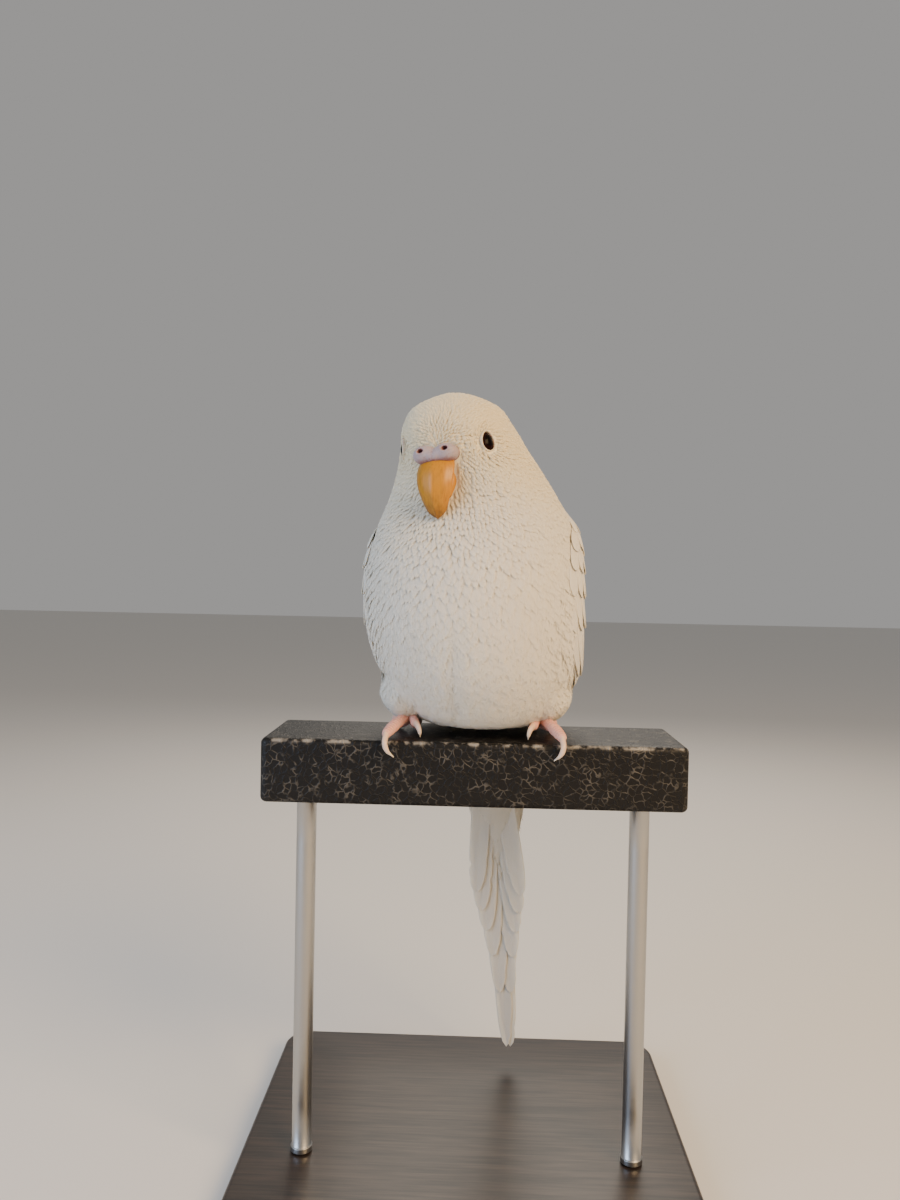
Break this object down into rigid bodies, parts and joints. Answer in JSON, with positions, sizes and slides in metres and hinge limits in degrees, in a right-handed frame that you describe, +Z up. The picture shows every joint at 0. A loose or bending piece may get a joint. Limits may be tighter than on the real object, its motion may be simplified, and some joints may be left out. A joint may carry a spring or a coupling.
{
  "type": "budgerigar display model",
  "caption": "Life-size display model of a fluffed white budgerigar perched upright on a short rectangular rail, head turned slightly, long tail hanging behind, on a plain stand.",
  "frame": {"origin": "centre of the underside of the stand's base, which is the middle of the whole model's footprint", "axes": "+Z up; the bird faces -Y, with its left side towards +X; the rail runs along X"},
  "size_m": [0.104, 0.092, 0.1796],
  "materials": {
    "plumage": "soft matte feathers, ivory white, creamier on the head",
    "cere_skin": "bare skin, pale lavender pink",
    "bill_horn": "smooth horn, orange yellow",
    "eye": "wet and glossy, dark plum brown",
    "leg_skin": "finely scaled bare skin, pink",
    "claw_horn": "smooth horn, cream",
    "rail_paint": "black hammered paint with a fine silver network",
    "rod_steel": "brushed",
    "base_wood": "black stained, satin"
  },
  "bodies": {
    "root": {"head": "plumage", "neck": "plumage", "torso": "plumage", "thigh_left": "plumage", "thigh_right": "plumage", "wing_left": "plumage", "wing_right": "plumage", "tail": "plumage", "cere": "cere_skin", "bill_upper": "bill_horn", "bill_lower": "bill_horn", "eye_left": "eye", "eye_right": "eye", "leg_left": "leg_skin", "leg_right": "leg_skin", "claw_left_outer_front": "claw_horn", "claw_left_inner_front": "claw_horn", "claw_left_outer_back": "claw_horn", "claw_left_inner_back": "claw_horn", "claw_right_outer_front": "claw_horn", "claw_right_inner_front": "claw_horn", "claw_right_outer_back": "claw_horn", "claw_right_inner_back": "claw_horn", "stand_perch": "rail_paint", "stand_rod_left": "rod_steel", "stand_rod_right": "rod_steel", "stand_base": "base_wood"}
  },
  "joints": []
}
